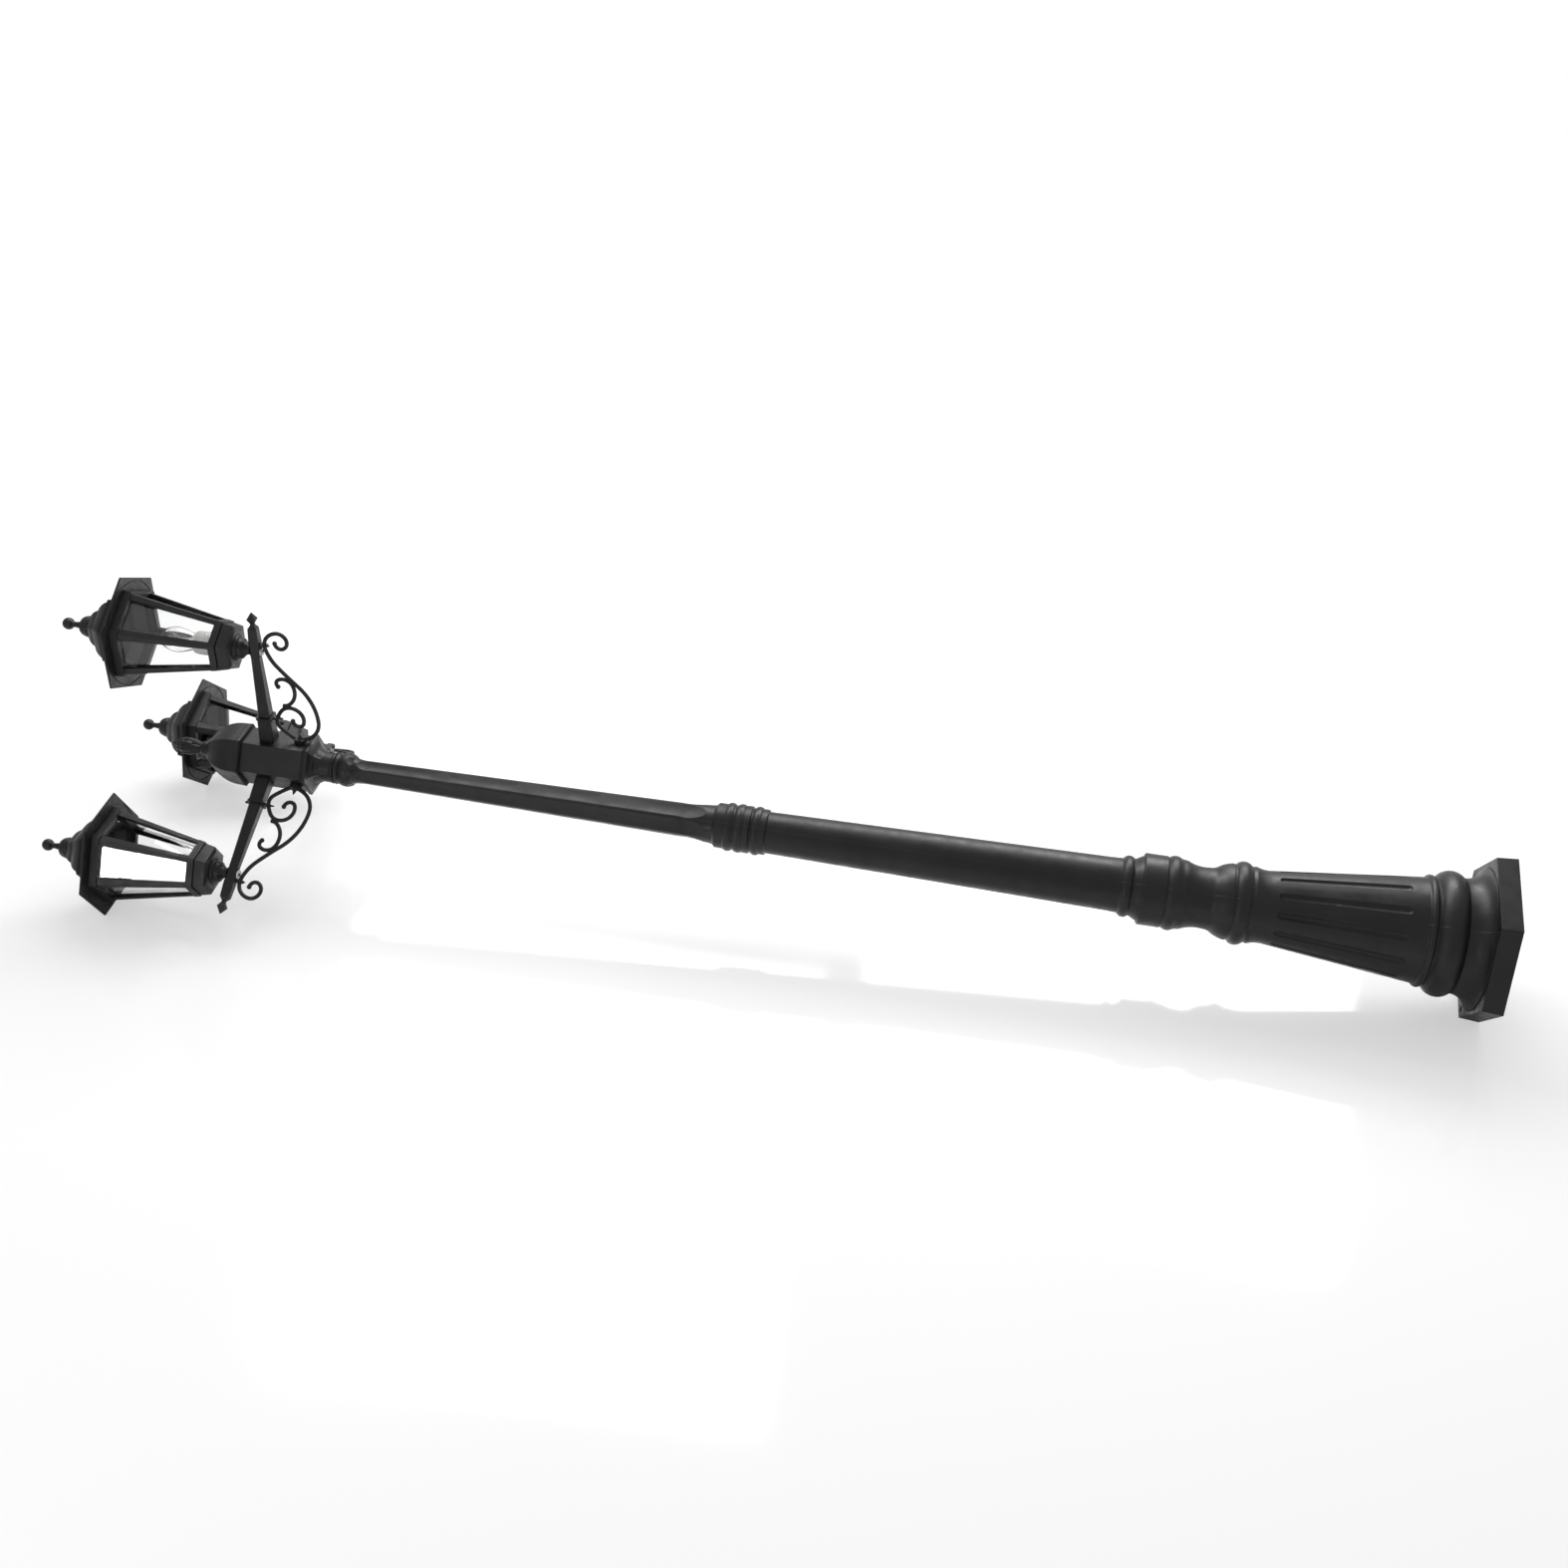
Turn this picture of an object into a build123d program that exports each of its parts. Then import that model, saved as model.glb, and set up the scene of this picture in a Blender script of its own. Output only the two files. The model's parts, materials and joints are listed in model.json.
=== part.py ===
"""Triple head garden lamp post, in millimetres, +Z up the post, origin at the base plate's centre.

A hexagonal base plate carries a fluted pedestal, a coupling sleeve and two tapered shafts. A
six-sided hub at the top holds three arms with scroll brackets. On each arm's end stands a
six-sided glazed lantern, free to swivel on its hollow stem. Its roof lifts off, and the lamp
inside it unscrews. Every casting is a hollow shell, so the wires run up inside.
"""
from build123d import *

import os
from math import cos, radians, sin

# ------------------------------------------------------------------ driving dimensions (mm)
# Shells, seats and clearances
WALL = 4.0                 # wall of the castings
FIT = 0.1                  # gap between a spigot or screw and the hole that it fills
RUN = 0.05                 # radial clearance of what turns
SEAT = 0.2                 # gap under what lifts off or turns

# Base plate and collar
PLATE_R = 131.0            # corner radius of the hexagon at the ground
PLATE_DRAFT = 2.5          # how much smaller the corner radius is at the plate's top
PLATE_T = 30.0
PLATE_TURN = 46.0          # where its first corner points
BOLT_R = 4.5               # anchor bolt holes, in alternate corners
BOLT_PCD = 228.0
BOLT_COUNT = 3
POCKET_R = 96.0            # hollow under the plate, open up to the collar's flange
PLATE_SKIN = 8.0           # metal left over the hollow
COLLAR_FOOT_R = 106.0
COLLAR_TOP_R = 85.0
COLLAR_H = 31.5
FLANGE_T = 6.0             # the two flanges that clamp pedestal to collar
FLANGE_BORE_R = 58.0
FLANGE_SCREW_R = 3.0
FLANGE_SCREW_PCD = 136.0

# Post sections, from the ground up
PEDESTAL_H = 392.5
SLEEVE_H = 66.0
LOWER_SHAFT_H = 601.0
UPPER_SHAFT_H = 655.0
HUB_H = 144.0
GASKET_T = 3.0
CAP_H = 68.5
BUD_H = 60.5

TORUS_R = 82.5             # root radius of the pedestal's big torus
TORUS_BULGE = 9.5
CONE_FOOT_R = 78.6
CONE_TOP_R = 54.4
RING_R = 59.2              # ring above the cone
RING_BULGE = 3.4
VASE_NECK_R = 46.1
SLEEVE_R = 53.9
SLEEVE_BEAD = 2.6          # how far the sleeve's bead stands out
LOWER_FOOT_R = 40.5
LOWER_HEAD_R = 32.0
UPPER_FOOT_R = 28.0
UPPER_HEAD_R = 19.3
JOINT_R = 35.0             # collars either side of the middle joint
JOINT_BEAD = 2.8
HEAD_BEAD_R = 24.2

PEDESTAL_FLUTES = 12
PEDESTAL_FLUTE_HALF = 4.6  # half of the angle that one flute takes
PEDESTAL_FLUTE_DISH = 3.0  # depth below its chord
PEDESTAL_FLUTE_TURN = -2.3
SHAFT_FLUTES = 6
SHAFT_FLUTE_HALF = 27.0
SHAFT_FLUTE_DISH = 0.8

LOW_SPIGOT_R = 36.0        # spigots inside the joints
MID_SPIGOT_R = 24.0
HUB_SPIGOT_R = 14.0
SPIGOT_REACH = 46.0        # how far a spigot goes into each section

# Hub, its cap and bud
HUB_R = 44.5               # corner radius of the hexagon
HUB_FLANGE_R = 47.5
HUB_NECK_R = 24.5
HUB_WALL = 4.0
GASKET_R = 49.9            # rubber ring under the cap, a little proud all round
CAP_R = 49.6
CAP_SHOULDER_R = 28.0      # where the cap's bulge turns into its neck
CAP_TOP_R = 14.0
STUD_R = 4.0
BUD_R = 14.2
GRUB_R = 2.5               # grub screw in the hub's neck

# Arms
ARM_ANGLES = {"right": -30.0, "left": -150.0, "back": 90.0}
ARM_DROP = 26.5            # level top face of the arms below the hub's top
STEM_RADIUS = 199.8        # lantern stem from the post's axis
ARM_ROOT = 19.0            # section at the ferrule
ARM_TIP = 14.0             # section beside the stem block
ARM_CHAMFER = 2.4
BLOCK_W = 16.5             # block that holds the stem
BLOCK_H = 16.0
ROOT_PEG = 13.0            # square root inside the ferrule
FERRULE_END = 82.0         # outer end of the ferrule from the post's axis
FERRULE_BAND = 4.5
BAND_NUB_H = 4.5           # point on top of the ferrule's band
TAIL_R = 6.5               # hollow tail through the hub wall
WIRE_R = 3.5
SPEAR_L = 53.5
SPEAR_NECK = 6.4
SPEAR_HEAD = 14.0
SCROLL_ROD_R = 3.1
HANGER_T = 8.0             # straps between a scroll and its arm
PAD_T = 8.0                # pad that joins a scroll to the hub's face
PAD_NUB_L = 10.0           # small point outwards on the pad
SCROLL_SPAN = 161.3        # hub face to stem, for which the scroll radii below are drawn

# Lantern, from the arm's top face up
STEM_R = 5.0
STEM_BORE_R = 3.0
NUT_ACROSS = 14.0
NUT_T = 3.6
LOCK_NUT_T = 2.6           # thin nut under the block, clear of the scroll
CUP_H = 39.5
CUP_NECK_R = 8.3
CUP_R = 41.0               # corner radius of its rim
CAGE_H = 153.0
CAGE_FOOT_R = 42.0
CAGE_TOP_R = 73.0
CAGE_RING_R = 75.5         # corner radius of the ring under the roof
CAGE_RING_H = 12.0
CAGE_SILL_H = 11.0
CAGE_WALL = 6.0
CAGE_SEAM_H = 1.2          # groove all round the cage's foot
CAGE_SEAM_DEEP = 2.5
BAR_LOW = 6.2              # half of a corner bar on one face, above the sill
BAR_HIGH = 9.9             # the same under the ring
PANE_T = 2.0
PANE_SIDE_GAP = 1.6
HOLDER_R = 18.0
HOLDER_H = 48.0
CAP_SHELL_R = 13.0         # lamp's screw cap
CAP_SHELL_L = 27.0
BULB_R = 19.5
BULB_L = 60.0
BRIM_R = 97.3              # corner radius of the roof's brim
BRIM_T = 3.0
ROOF_DRUM_R = 53.0
ROOF_DRUM_Z = 17.0         # where the drum starts above the brim's underside
ROOF_DRUM_H = 13.5
ROOF_DOME_H = 33.5
ROOF_TOP_R = 18.5
ROOF_SHELL = 3.0
SKIRT_R = 65.3             # corner radius of the skirt inside the cage's top
BRIM_GROOVE_R = 80.0       # ring line under the brim
KNOB_COLLAR_H = 16.0
KNOB_R = 9.3               # ball on the roof
KNOB_STUD_R = 3.0
KNOB_RISE = 39.0           # ball's centre above the dome
HEAD_TURNS = {"right": -1.3, "left": 27.6, "back": 12.9}   # each lantern's turn on its stem

# ------------------------------------------------------------------ levels worked out from them
COS30 = cos(radians(30))
SEAM_BASE = PLATE_T + COLLAR_H
SEAM_PEDESTAL = SEAM_BASE + PEDESTAL_H
SEAM_SLEEVE = SEAM_PEDESTAL + SLEEVE_H
SEAM_MIDDLE = SEAM_SLEEVE + LOWER_SHAFT_H
SEAM_HUB = SEAM_MIDDLE + UPPER_SHAFT_H
HUB_TOP = SEAM_HUB + HUB_H
CAP_LOW = HUB_TOP + GASKET_T
CAP_TOP = CAP_LOW + CAP_H
HUB_FACE = HUB_R * COS30
HUB_INNER = HUB_FACE - HUB_WALL
LOW_REACH = (SLEEVE_H / 2 + SPIGOT_REACH, SLEEVE_H / 2 + SPIGOT_REACH)
SCROLL_K = (STEM_RADIUS - HUB_FACE) / SCROLL_SPAN
ARM_TOP_Z = HUB_TOP - ARM_DROP
ARM_AXIS_Z = ARM_TOP_Z - ARM_ROOT / 2
BAND_SIDE = ARM_ROOT + 6
BLOCK_IN = STEM_RADIUS - BLOCK_W / 2 - 1
BLOCK_OUT = STEM_RADIUS + BLOCK_W / 2 + 4.5
CUP_FLOOR = CUP_H - 13.5
HOLDER_TOP = CUP_H + HOLDER_H
CAGE_Z = CUP_H
BRIM_Z = CAGE_Z + CAGE_H + SEAT * 2
CAGE_SLOPE = (CAGE_TOP_R - CAGE_FOOT_R) / CAGE_H


# ------------------------------------------------------------------ shape helpers
def outline(steps):
    """Closed face from (x, z) points. A third number bulges the run that ends there, outwards
    when the points go up the outside."""
    edges = []
    here = steps[0][:2]
    for step in list(steps[1:]) + [steps[0][:2]]:
        there = step[:2]
        if len(step) == 3:
            edges.append(SagittaArc(here, there, -step[2]))
        else:
            edges.append(Line(here, there))
        here = there
    return make_face(edges)


def turned(steps):
    """Solid of revolution about Z."""
    return revolve(Plane.XZ * outline(steps), Axis.Z)


def tube(outer, inner, low, high):
    return turned([(inner, low), (outer, low), (outer, high), (inner, high)])


def rod(radius, low, high):
    return Pos(0, 0, low) * Cylinder(radius, high - low, align=(Align.CENTER, Align.CENTER, Align.MIN))


def hexagon(corner_r, z):
    """Hexagon at a level, with a corner on +X."""
    return Pos(0, 0, z) * RegularPolygon(corner_r, 6)


def hex_frustum(low_r, low_z, high_r, high_z):
    return loft([hexagon(low_r, low_z), hexagon(high_r, high_z)], ruled=True)


def hex_turned(steps):
    """Six-sided body whose faces all follow one outline, with a corner on +X. The first number
    of each step is the corner radius."""
    flat = [(step[0] * COS30,) + tuple(step[1:]) for step in steps]
    reach = 2 * max(step[0] for step in steps)
    half = outline([(0, flat[0][1])] + flat + [(0, flat[-1][1])])
    slab = extrude(Plane.XZ * half, amount=reach, both=True)
    slab += mirror(slab, about=Plane.YZ)
    return (Rot(0, 0, 30) * slab) & (Rot(0, 0, 90) * slab) & (Rot(0, 0, 150) * slab)


def flute(foot_r, foot_z, head_r, head_z, half_angle, dish):
    """Cutter for one round-ended flute along a cone's side, on the +X side of Z."""
    ends = []
    for radius, z in ((foot_r, foot_z), (head_r, head_z)):
        half_width = radius * sin(radians(half_angle))
        groove = (half_width ** 2 + dish ** 2) / (2 * dish)
        ends.append((radius * cos(radians(half_angle)) - dish + groove, z, groove))
    (x0, z0, g0), (x1, z1, g1) = ends
    along = Vector(x1 - x0, 0, z1 - z0)
    lie = Plane(origin=(x0, 0, z0), x_dir=(0, 1, 0), z_dir=along)
    body = lie * Cone(g0, g1, along.length, align=(Align.CENTER, Align.CENTER, Align.MIN))
    return body + Pos(x0, 0, z0) * Sphere(g0) + Pos(x1, 0, z1) * Sphere(g1)


def around(shape, count, first=0.0):
    return [Rot(0, 0, first + 360 * k / count) * shape for k in range(count)]


def chamfered_bar(width, height, chamfer_w):
    """Rectangle with its corners cut off, for a section across X."""
    w, h, c = width / 2, height / 2, chamfer_w
    right = [(w - c, -h), (w, c - h), (w, h - c), (w - c, h)]
    left = [(-x, -y) for x, y in right]
    return make_face(Polyline(right + left, close=True))


def bar(x0, size0, x1, size1, top_z, chamfer_w):
    """Tapered bar along X with a level top."""
    faces = []
    for x, size in ((x0, size0), (x1, size1)):
        across = Plane(origin=(x, 0, top_z - size / 2), x_dir=(0, 1, 0), z_dir=(1, 0, 0))
        faces.append(across * chamfered_bar(size, size, chamfer_w))
    return loft(faces, ruled=True)


def export(name, shape):
    shape.label = name
    export_step(shape, os.path.join("parts", name + ".step"))


# ------------------------------------------------------------------ the post
def base_plate():
    """Hexagonal plate with a round cove up to the pedestal, one shell that is open underneath."""
    plate = hex_frustum(PLATE_R, 0, PLATE_R - PLATE_DRAFT, PLATE_T)
    top = SEAM_BASE
    under = top - FLANGE_T
    cove = turned([(0, PLATE_T - 1), (COLLAR_FOOT_R, PLATE_T - 1), (COLLAR_FOOT_R, PLATE_T + 1.5),
                   (COLLAR_TOP_R, top - 2, -5.5), (COLLAR_TOP_R, top), (0, top)])
    hollow = turned([(0, 0), (POCKET_R, 0), (POCKET_R, PLATE_T - PLATE_SKIN),
                     (COLLAR_TOP_R - WALL * 2.5, under), (0, under)])
    body = plate + cove - hollow
    body -= rod(FLANGE_BORE_R, under, top)
    for hole in around(Pos(BOLT_PCD / 2, 0, 0) * rod(BOLT_R, 0, PLATE_T), BOLT_COUNT):
        body -= hole
    for hole in around(Pos(FLANGE_SCREW_PCD / 2, 0, 0) * rod(FLANGE_SCREW_R + FIT, 0, top), 3):
        body -= hole
    return Rot(0, 0, PLATE_TURN) * body


def flange_screws():
    """Three screws up through the collar's flange into the pedestal's."""
    under = SEAM_BASE - FLANGE_T
    screw = rod(FLANGE_SCREW_R, under, SEAM_BASE + FLANGE_T - 1) + rod(FLANGE_SCREW_R * 1.8, under - 4, under)
    return Compound(children=around(Pos(FLANGE_SCREW_PCD / 2, 0, 0) * screw, 3, PLATE_TURN))


def pedestal():
    """Fluted cone between a torus and a ring, with a vase neck above."""
    low, high = SEAM_BASE, SEAM_PEDESTAL
    cone_low, cone_high = low + 54.5, high - 118
    bore = LOW_SPIGOT_R + FIT
    body = turned([
        (TORUS_R + 2, low), (TORUS_R, low + 38, TORUS_BULGE), (TORUS_R - 2, low + 40), (TORUS_R - 2, low + 42),
        (TORUS_R - 3, low + 53, 3.2), (CONE_FOOT_R, cone_low), (CONE_TOP_R, cone_high),
        (RING_R - 1.6, high - 97.5, -1.2), (RING_R - 2.6, high - 92.5), (RING_R, high - 89),
        (RING_R, high - 70, RING_BULGE), (RING_R - 2.2, high - 68.5), (RING_R - 2.2, high - 66.5),
        (RING_R - 1.7, high - 64), (VASE_NECK_R + 4, high - 44, 1.2), (VASE_NECK_R, high - 31, -1.2),
        (VASE_NECK_R + 4.5, high, -2.2),
        (bore, high), (bore, high - SPIGOT_REACH - 1), (CONE_TOP_R - 7, high - 80),
        (CONE_TOP_R - 6.2, cone_high), (CONE_FOOT_R - 6.2, cone_low), (TORUS_R - 2, low + 32),
        (TORUS_R - 2, low + FLANGE_T + 2), (FLANGE_BORE_R, low + FLANGE_T), (FLANGE_BORE_R, low)])
    low_inset, high_inset = 30.0, 16.0
    slope = (CONE_FOOT_R - CONE_TOP_R) / (cone_high - cone_low)
    cut = flute(CONE_FOOT_R - slope * low_inset, cone_low + low_inset, CONE_TOP_R + slope * high_inset,
                cone_high - high_inset, PEDESTAL_FLUTE_HALF, PEDESTAL_FLUTE_DISH)
    for cutter in around(cut, PEDESTAL_FLUTES, PEDESTAL_FLUTE_TURN):
        body -= cutter
    screw_hole = Pos(FLANGE_SCREW_PCD / 2, 0, 0) * rod(FLANGE_SCREW_R + FIT, low, low + FLANGE_T)
    for hole in around(screw_hole, 3, PLATE_TURN):
        body -= hole
    return body


def coupling_sleeve():
    low, high = SEAM_PEDESTAL, SEAM_SLEEVE
    r = SLEEVE_R
    bore = LOW_SPIGOT_R + FIT
    return turned([
        (bore, low), (VASE_NECK_R + 4.9, low), (r - 2, low + 4), (r - 0.4, low + 12, -0.4),
        (r - 0.4, low + 28, SLEEVE_BEAD), (r - 1.4, low + 29.5), (r, low + 32), (r, high - 2),
        (r - 1.5, high), (bore, high)])


def lower_shaft():
    """Plain tapered shaft between a foot ring and the collar of the middle joint."""
    low, high = SEAM_SLEEVE, SEAM_MIDDLE
    foot, head = LOWER_FOOT_R, LOWER_HEAD_R
    low_bore, high_bore = LOW_SPIGOT_R + FIT, MID_SPIGOT_R + FIT
    reach = SPIGOT_REACH
    return turned([
        (low_bore, low), (foot + 9, low), (foot + 7, low + 4), (foot + 2.6, low + 12), (foot + 3, low + 14),
        (foot + 2.6, low + 29, 3.2), (foot + 0.7, low + 31), (foot, low + 48), (head, high - 36),
        (JOINT_R, high - 34), (JOINT_R, high - 27), (JOINT_R - 0.3, high - 26),
        (JOINT_R - 0.3, high - 13, JOINT_BEAD), (JOINT_R - 1, high - 11), (JOINT_R + 1.4, high - 9),
        (JOINT_R + 1.4, high), (high_bore, high), (high_bore, high - reach - 1), (head - 4.4, high - reach - 8),
        (low_bore - 2, low + reach + 14), (low_bore, low + reach + 4)])


def upper_shaft():
    """Tapered shaft with wide shallow flutes, a double foot ring and a beaded head."""
    low, high = SEAM_MIDDLE, SEAM_HUB
    foot, head = UPPER_FOOT_R, UPPER_HEAD_R
    foot_bore, head_bore = MID_SPIGOT_R + FIT, HUB_SPIGOT_R + FIT
    reach = SPIGOT_REACH
    j, b = JOINT_R, HEAD_BEAD_R
    body = turned([
        (foot_bore, low), (j + 1.4, low), (j + 0.5, low + 1), (j, low + 14, JOINT_BEAD - 0.4),
        (j - 0.8, low + 15.5), (j - 0.4, low + 17), (j - 0.4, low + 30, JOINT_BEAD), (j - 0.4, low + 31),
        (j - 0.4, low + 43), (foot + 2.4, low + 47), (foot + 0.8, low + 60, -0.3), (foot, low + 75),
        (head, high - 36), (head + 1.7, high - 31), (b, high - 29), (b, high - 9, JOINT_BEAD),
        (b - 1.2, high - 7.5), (b - 0.2, high - 6), (b - 0.2, high - 1.5, 1.2), (b - 0.7, high),
        (head_bore, high), (head_bore, high - reach - 1), (head - 5, high - reach - 16),
        (foot - 7, low + reach + 30), (foot_bore, low + reach + 4)])
    inset = 16.0
    slope = (foot - head) / (high - 36 - low - 75)
    cut = flute(foot - slope * inset, low + 75 + inset, head + slope * inset, high - 36 - inset,
                SHAFT_FLUTE_HALF, SHAFT_FLUTE_DISH)
    for cutter in around(cut, SHAFT_FLUTES, 12.5):
        body -= cutter
    return body


def spigot(radius, wall, seam, down, up):
    return tube(radius, radius - wall, seam - down, seam + up)


# ------------------------------------------------------------------ the hub
def hub():
    """Round neck, flared flange and six-sided box, open at the top under a bridge."""
    low, high = SEAM_HUB, HUB_TOP
    neck = HUB_NECK_R
    body = turned([
        (0, low), (neck, low), (neck + 0.4, low + 2), (neck - 0.6, low + 5), (neck - 0.6, low + 18),
        (neck + 0.6, low + 23, -0.2), (neck + 4, low + 28), (0, low + 28)])
    body += hex_turned([
        (neck + 1, low + 20), (HUB_FLANGE_R, low + 35, -4.0), (HUB_FLANGE_R + 0.6, low + 38, 0.3),
        (HUB_FLANGE_R, low + 41), (HUB_R, low + 47, -0.8), (HUB_R, high)])
    body -= hex_turned([(HUB_INNER / COS30, low + 50), (HUB_INNER / COS30, high)])
    body -= rod(HUB_SPIGOT_R + FIT, low, low + 24)
    body -= rod(HUB_SPIGOT_R - WALL, low, low + 51)
    bridge = Pos(0, 0, high - 10) * Box(2 * HUB_INNER + 0.2, 14, 8)
    body += Rot(0, 0, 30) * bridge
    body -= rod(STUD_R + FIT, high - 20, high)
    for angle in ARM_ANGLES.values():
        hole = Plane(origin=(HUB_INNER - 2, 0, ARM_AXIS_Z), z_dir=(1, 0, 0)) * rod(TAIL_R + FIT, 0, HUB_WALL + 4)
        body -= Rot(0, 0, angle) * hole
    body -= grub_place() * rod(GRUB_R + FIT, HUB_SPIGOT_R, neck + 2)
    return body


def grub_place():
    """Local Z runs outwards through the hub's neck, on its front right side."""
    return Rot(0, 0, -15) * Plane(origin=(0, 0, SEAM_HUB + 12), z_dir=(1, 0, 0))


def grub_screw():
    shank = rod(GRUB_R, HUB_SPIGOT_R + FIT, HUB_NECK_R + 2)
    head = rod(GRUB_R * 1.3, HUB_NECK_R + 0.5, HUB_NECK_R + 4)
    return grub_place() * (shank + head)


def terminal_block():
    """Connector block on the hub's inner wall, between two arms."""
    depth, width, height = 14.0, 24.0, 34.0
    block = Pos(HUB_INNER - FIT - depth / 2, 0, SEAM_HUB + 52 + height / 2) * Box(depth, width, height)
    face_x = HUB_INNER - FIT - depth
    for row in (-1, 0, 1):
        for side in (-1, 1):
            screw = Plane(origin=(face_x, row * 7.5, SEAM_HUB + 52 + height / 2 + side * 10), z_dir=(1, 0, 0))
            block -= screw * rod(2.0, 0, 5)
    return Rot(0, 0, 150) * block


def cap_gasket():
    """Six-sided rubber ring between the hub's rim and the cap."""
    inner = HUB_INNER / COS30
    ring = hex_frustum(GASKET_R, HUB_TOP, GASKET_R, CAP_LOW)
    return ring - hex_frustum(inner, HUB_TOP, inner, CAP_LOW)


def hub_cap():
    """Six-sided ogee cap with a hollow inside."""
    low, high = CAP_LOW, CAP_TOP
    shoulder, inner = CAP_SHOULDER_R, CAP_R - WALL * 1.2
    body = hex_turned([
        (CAP_R - 0.6, low), (CAP_R, low + 1.5), (CAP_R - 0.5, low + CAP_H * 0.14),
        (shoulder, low + CAP_H * 0.82, 4.8), (CAP_TOP_R, high, -1.0)])
    body -= hex_turned([
        (inner, low), (inner - 0.5, low + CAP_H * 0.13), (shoulder - WALL, low + CAP_H * 0.76, 4.2),
        (CAP_TOP_R - WALL, low + CAP_H * 0.83)])
    return body - rod(STUD_R + FIT, low, high)


def cap_stud():
    """Stud from the hub's bridge up into the bud, with its nut under the bridge."""
    nut = hex_frustum(STUD_R * 1.9, HUB_TOP - 19, STUD_R * 1.9, HUB_TOP - 14 - FIT)
    return rod(STUD_R, HUB_TOP - 20, CAP_TOP + 13) + nut


def hub_bud():
    """Pointed bud that screws down on the cap."""
    low = CAP_TOP
    body = turned([
        (0, low), (CAP_TOP_R - 1.8, low), (CAP_TOP_R - 2.2, low + 3), (BUD_R * 0.67, low + 9.5, -0.8),
        (BUD_R, low + BUD_H * 0.48, 0.8), (1.0, low + BUD_H - 1, 2.4), (0, low + BUD_H)])
    return body - rod(STUD_R + FIT, low, low + 14)


# ------------------------------------------------------------------ one arm, outwards along +X
def arm():
    """Hollow bar from its tail in the hub wall to the block that holds the lantern's stem."""
    axis_z = ARM_AXIS_Z
    along = Plane(origin=(0, 0, axis_z), z_dir=(1, 0, 0))
    block_mid = (BLOCK_IN + BLOCK_OUT) / 2
    body = along * rod(TAIL_R, HUB_INNER - 9, HUB_FACE + SEAT)
    root_l = FERRULE_END - HUB_FACE - SEAT
    body += Pos(FERRULE_END - root_l / 2, 0, axis_z) * Box(root_l, ROOT_PEG, ROOT_PEG)
    body += bar(FERRULE_END, ARM_ROOT, BLOCK_IN + 1, ARM_TIP, ARM_TOP_Z, ARM_CHAMFER)
    body += Pos(block_mid, 0, ARM_TOP_Z - BLOCK_H / 2) * chamfer(
        Box(BLOCK_OUT - BLOCK_IN, BLOCK_H, BLOCK_H).edges().filter_by(Axis.X), ARM_CHAMFER)
    body -= Pos(STEM_RADIUS, 0, 0) * rod(STEM_R + RUN, ARM_TOP_Z - BLOCK_H - 1, ARM_TOP_Z + 1)
    body -= along * rod(WIRE_R, HUB_INNER - 10, STEM_RADIUS)
    spear_z = ARM_TOP_Z - BLOCK_H / 2
    body -= Plane(origin=(BLOCK_OUT - 6, 0, spear_z), z_dir=(1, 0, 0)) * rod(WIRE_R + FIT, 0, 7)
    return body


def arm_ferrule():
    """Collar over the arm's root, with a raised band at its outer end and a point on the band."""
    inner, band_x = HUB_FACE + SEAT, FERRULE_END - FERRULE_BAND
    band_top = ARM_AXIS_Z + BAND_SIDE / 2
    body = bar(inner, ARM_ROOT + 5, band_x, ARM_ROOT + 2.5, ARM_TOP_Z + 2, ARM_CHAMFER)
    body += bar(band_x, BAND_SIDE, FERRULE_END, BAND_SIDE, band_top, ARM_CHAMFER)
    nub = Cone(2.6, 1.6, BAND_NUB_H + 1, align=(Align.CENTER, Align.CENTER, Align.MIN))
    body += Pos(FERRULE_END - FERRULE_BAND / 2, 0, band_top - 1) * nub
    body += Pos(FERRULE_END - FERRULE_BAND / 2, 0, band_top + BAND_NUB_H) * Sphere(2.2)
    hole = Pos((inner + FERRULE_END) / 2, 0, ARM_AXIS_Z) * Box(
        FERRULE_END - inner + 2, ROOT_PEG + 2 * FIT, ROOT_PEG + 2 * FIT)
    return body - hole


def arm_nut():
    """Ring nut on the arm's tail, inside the hub."""
    nut = hex_frustum(TAIL_R * 1.6, 0, TAIL_R * 1.6, 6) - rod(TAIL_R + FIT, 0, 6)
    return Plane(origin=(HUB_INNER - SEAT - 6, 0, ARM_AXIS_Z), z_dir=(1, 0, 0)) * nut


def arm_spear():
    """Four-sided spear on the arm's end, screwed in on a peg."""
    stations = [(0, BLOCK_H + 0.6), (0.5, BLOCK_H - 1.8), (0.6, SPEAR_NECK), (0.65, SPEAR_NECK), (0.79, SPEAR_HEAD),
                (1, 1.0)]
    sections = [Pos(0, 0, share * SPEAR_L) * chamfered_bar(side, side, side * 0.14) for share, side in stations]
    body = loft(sections, ruled=True) + rod(WIRE_R, -5, 0)
    return Plane(origin=(BLOCK_OUT, 0, ARM_TOP_Z - BLOCK_H / 2), x_dir=(0, 1, 0), z_dir=(1, 0, 0)) * body


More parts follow.
